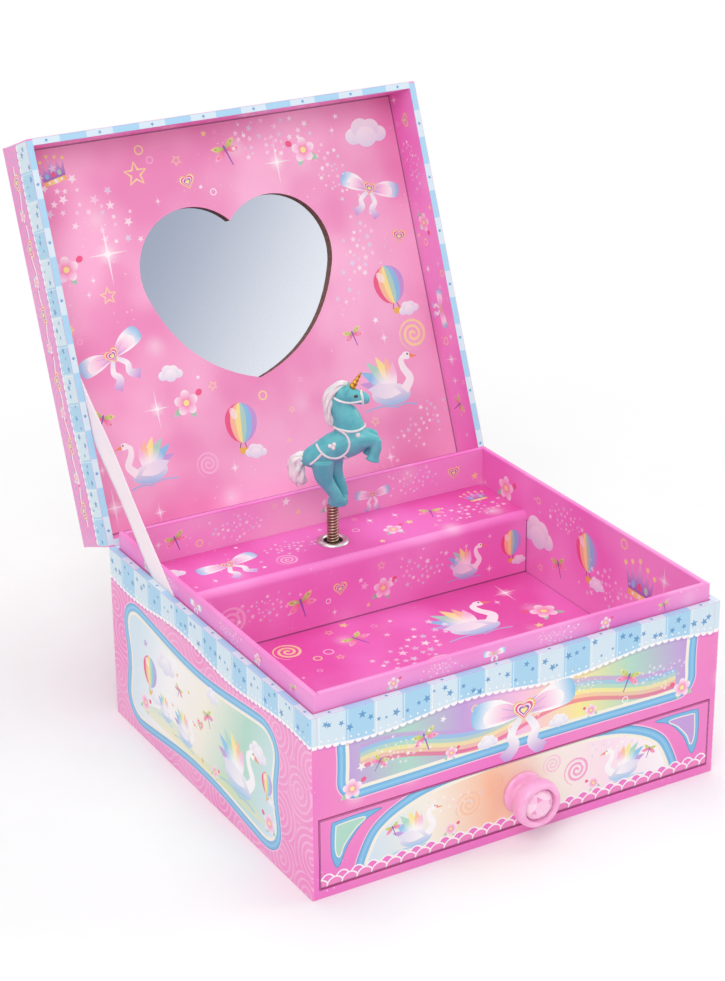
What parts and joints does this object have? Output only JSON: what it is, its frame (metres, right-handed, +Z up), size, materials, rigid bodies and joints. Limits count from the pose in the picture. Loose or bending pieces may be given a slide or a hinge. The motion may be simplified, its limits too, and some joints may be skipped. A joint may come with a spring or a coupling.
{
  "type": "musical jewellery box",
  "caption": "Paper-covered musical jewellery box with a hinged mirror lid, tray, drawer and a turning unicorn on a spring over a wind-up movement.",
  "frame": {"origin": "centre of the case's underside", "axes": "+X along the front to the viewer's right, +Y to the back, +Z up; the lid is stored open and the drawer shut"},
  "size_m": [0.16, 0.2356, 0.2027],
  "materials": {
    "outer_print": "printed paper, satin laminate",
    "lining_print": "printed paper, satin laminate",
    "tray_print": "printed paper, satin laminate",
    "plain_board": "plain greyboard",
    "drawer_board": "paper-lined board",
    "mirror_sheet": "silvered acrylic",
    "hinge_paper": "paper on cloth",
    "satin_ribbon": "satin",
    "knob_plastic": "gloss",
    "gem_plastic": "faceted, clear gloss",
    "figure_plastic": "painted, semi-gloss",
    "spring_wire": "drawn wire",
    "nickel": "nickel plate",
    "cast_zinc": "as cast",
    "steel": "turned",
    "movement_brass": "turned"
  },
  "bodies": {
    "case": {"base_board": "outer_print", "left_wall": "outer_print", "right_wall": "outer_print", "back_wall": "outer_print", "front_panel": "outer_print", "tray_floor": "tray_print", "bay_back_board": "plain_board", "neck_left": "lining_print", "neck_right": "lining_print", "neck_front": "lining_print", "neck_back": "lining_print", "step_cover": "tray_print", "eyelet": "nickel", "hinge_cloth": "hinge_paper", "ribbon_stay": "satin_ribbon", "movement_bedplate": "cast_zinc", "tone_comb": "steel", "movement_screws": "steel"},
    "lid": {"lid_board": "outer_print", "lid_left_wall": "outer_print", "lid_right_wall": "outer_print", "lid_front_wall": "outer_print", "lid_back_wall": "outer_print", "lid_lining": "lining_print", "mirror_spacer": "plain_board", "heart_mirror": "mirror_sheet", "mirror_backing": "plain_board"},
    "drawer": {"drawer_front": "outer_print", "drawer_bottom": "drawer_board", "drawer_left_side": "drawer_board", "drawer_right_side": "drawer_board", "drawer_back": "drawer_board", "drawer_knob": "knob_plastic", "knob_gem": "gem_plastic", "knob_screw": "steel"},
    "spindle": {"spindle": "steel", "cylinder_pinion": "movement_brass", "music_cylinder": "movement_brass"},
    "barrel": {"spring_barrel": "movement_brass"},
    "key": {"winding_arbor": "steel", "winding_key": "nickel"},
    "figure_swing": {"figure_spring": "spring_wire"},
    "figure": {"unicorn_figure": "figure_plastic"}
  },
  "joints": [
    {"name": "lid_hinge", "type": "hinge", "parent": "case", "child": "lid", "pos_m": [0, 0.0735, 0.066], "axis": [1, 0, 0], "range_deg": [0, 111.5], "deforming": ["hinge_cloth", "ribbon_stay"]},
    {"name": "drawer_slide", "type": "slide", "parent": "case", "child": "drawer", "axis": [0, -1, 0], "range_m": [0, 0.105]},
    {"name": "spindle_turn", "type": "hinge", "parent": "case", "child": "spindle", "pos_m": [0, 0.053, 0.04], "axis": [0, 0, 1], "continuous": true},
    {"name": "barrel_turn", "type": "hinge", "parent": "case", "child": "barrel", "pos_m": [0, 0.062, 0.019], "axis": [0, 1, 0], "continuous": true},
    {"name": "key_turn", "type": "hinge", "parent": "case", "child": "key", "pos_m": [0, 0.07, 0.019], "axis": [0, 1, 0], "continuous": true},
    {"name": "figure_fold", "type": "hinge", "parent": "case", "child": "figure_swing", "pos_m": [0, 0.0503, 0.0588], "axis": [1, 0, 0], "range_deg": [0, 90.5], "deforming": ["figure_spring"]},
    {"name": "figure_spin", "type": "hinge", "parent": "figure_swing", "child": "figure", "pos_m": [0, 0.053, 0.09], "axis": [0, 0, 1], "continuous": true}
  ],
  "couplings": [
    {"joint": "figure_fold", "follows": "lid_hinge", "ratio": 0.80717},
    {"joint": "barrel_turn", "follows": "spindle_turn", "ratio": -0.27778},
    {"joint": "figure_spin", "follows": "spindle_turn", "ratio": 1}
  ]
}
